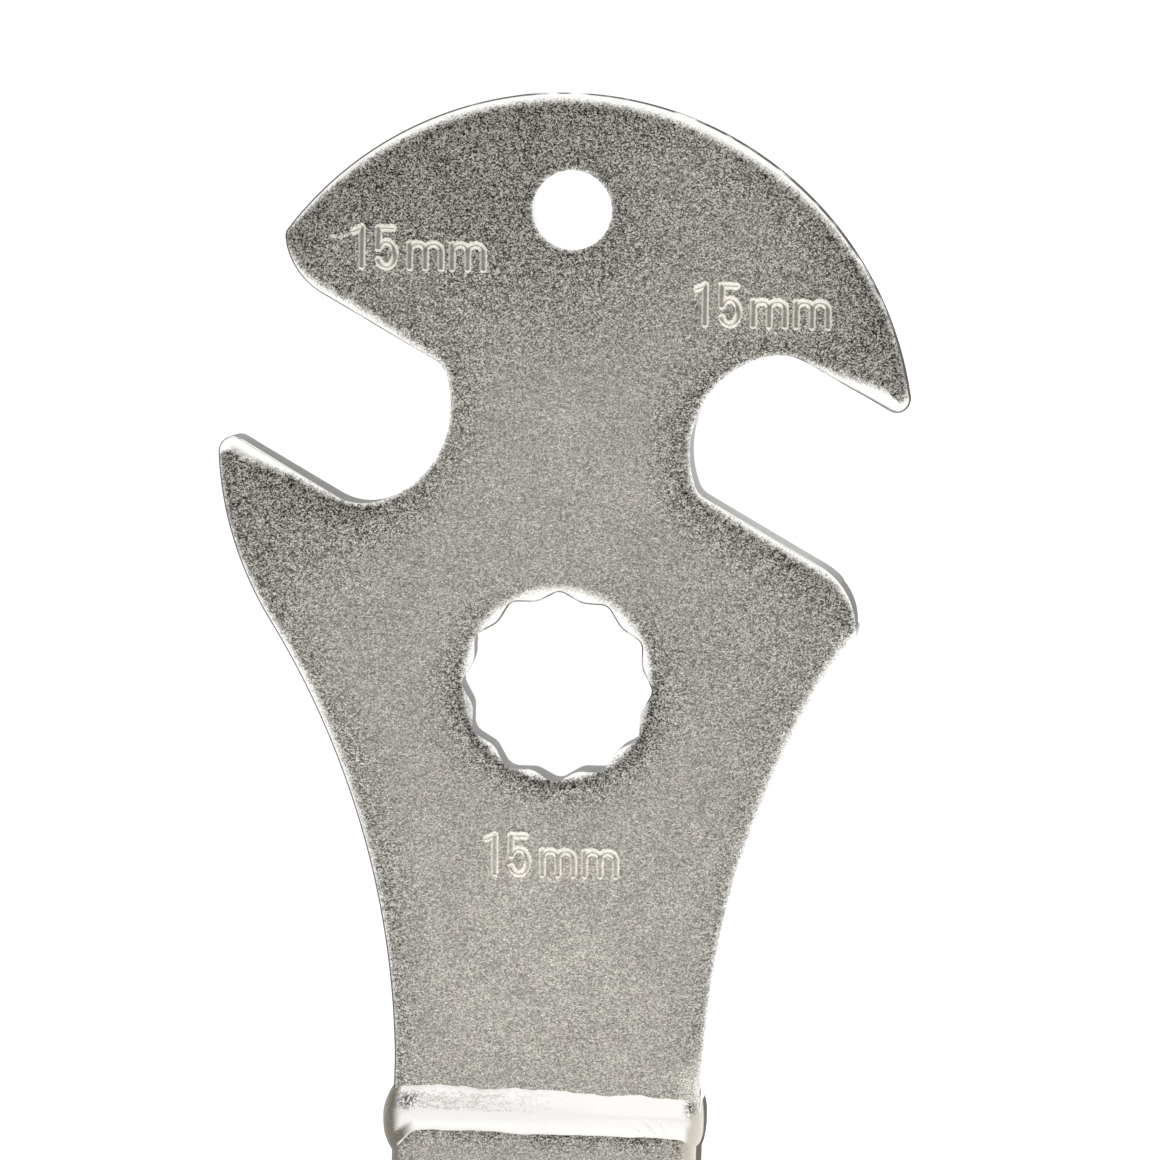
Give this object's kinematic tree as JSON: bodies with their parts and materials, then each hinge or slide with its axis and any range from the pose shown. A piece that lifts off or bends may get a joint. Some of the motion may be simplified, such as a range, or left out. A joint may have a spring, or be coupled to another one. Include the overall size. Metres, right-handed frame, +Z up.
{
  "type": "pedal wrench",
  "caption": "Flat steel pedal wrench: punched head with slanted open jaws, a toothed ring hole and a hanging hole, butt-welded to a long flat bar handle.",
  "frame": {"origin": "Centre of the bounding box in plan, on the surface that the wrench lies on. The back of the weld bead touches that surface.", "axes": "+Y runs from the handle to the head, +Z points up out of the stamped front face, +X is to the right when the front is looked at with the head at the top."},
  "size_m": [0.062, 0.33, 0.0069],
  "materials": {
    "plated_plate": "satin, grainy, nickel-grey plating over a blasted punched plate, with bright rolled edges and bright stamped size marks",
    "plated_weld": "plated weld bead, smoother and brighter than the plate, with fine ripples and dark pits near its ends",
    "plated_bar": "satin, grainy plating on the flat faces, smooth warm-grey plating on the rounded edges"
  },
  "bodies": {
    "root": {"head_plate": "plated_plate", "weld_bead": "plated_weld", "handle_bar": "plated_bar"}
  },
  "joints": []
}
